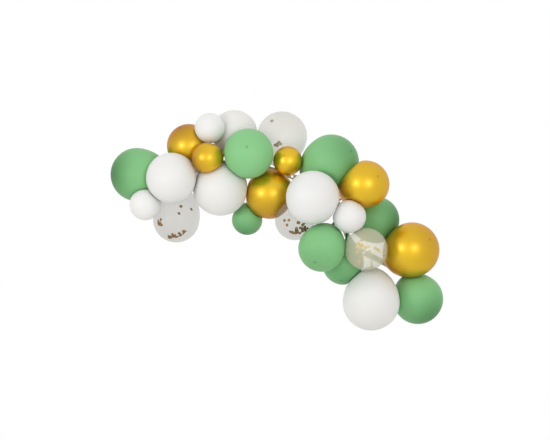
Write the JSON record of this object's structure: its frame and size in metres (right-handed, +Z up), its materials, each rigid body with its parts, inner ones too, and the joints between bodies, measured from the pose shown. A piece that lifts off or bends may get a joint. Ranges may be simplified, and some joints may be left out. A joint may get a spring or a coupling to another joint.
{
  "type": "balloon garland",
  "caption": "Garland of round latex balloons in green, white, gold and clear with confetti, tied in an arch to a punched tape.",
  "frame": {"origin": "on the tape's back face, at the middle hanging place, between two free holes", "axes": "+X to the right along the wall, +Y back towards the wall, +Z up"},
  "size_m": [1.4672, 0.4563, 0.9676],
  "materials": {
    "green_latex": "satin pastel latex",
    "white_latex": "satin latex",
    "gold_latex": "chrome-look gold latex",
    "clear_latex": "clear latex",
    "tape_plastic": "soft clear plastic",
    "clear_glue": "clear"
  },
  "bodies": {
    "root": {"balloon_tape": "tape_plastic", "balloon_green_small_low": "green_latex", "balloon_green_low_behind": "green_latex", "balloon_green_left_end": "green_latex", "balloon_green_top_right": "green_latex", "balloon_green_right": "green_latex", "balloon_green_right_end": "green_latex", "balloon_green_front_low": "green_latex", "balloon_green_front": "green_latex", "balloon_white_middle": "white_latex", "balloon_white_top": "white_latex", "balloon_white_right_end": "white_latex", "balloon_white_front_left": "white_latex", "balloon_white_small_top": "white_latex", "balloon_white_front_middle": "white_latex", "balloon_white_small_left": "white_latex", "balloon_white_small_right": "white_latex", "balloon_gold_left": "gold_latex", "balloon_gold_middle": "gold_latex", "balloon_gold_right": "gold_latex", "balloon_gold_right_end": "gold_latex", "balloon_gold_small_left": "gold_latex", "balloon_gold_small_middle": "gold_latex", "balloon_clear_left": "clear_latex", "balloon_clear_top": "clear_latex", "balloon_clear_low": "clear_latex", "balloon_clear_front_right": "clear_latex", "glue_dot_green_small_low_1": "clear_glue", "glue_dot_white_small_top_1": "clear_glue", "glue_dot_white_small_top_2": "clear_glue", "glue_dot_gold_small_left_1": "clear_glue", "glue_dot_gold_small_left_2": "clear_glue", "glue_dot_gold_small_left_3": "clear_glue", "glue_dot_white_small_left_1": "clear_glue", "glue_dot_white_small_left_2": "clear_glue", "glue_dot_white_small_left_3": "clear_glue", "glue_dot_gold_small_middle_1": "clear_glue", "glue_dot_gold_small_middle_2": "clear_glue", "glue_dot_gold_small_middle_3": "clear_glue", "glue_dot_white_small_right_1": "clear_glue", "glue_dot_white_small_right_2": "clear_glue", "glue_dot_white_small_right_3": "clear_glue", "glue_dot_white_small_right_4": "clear_glue"}
  },
  "joints": []
}
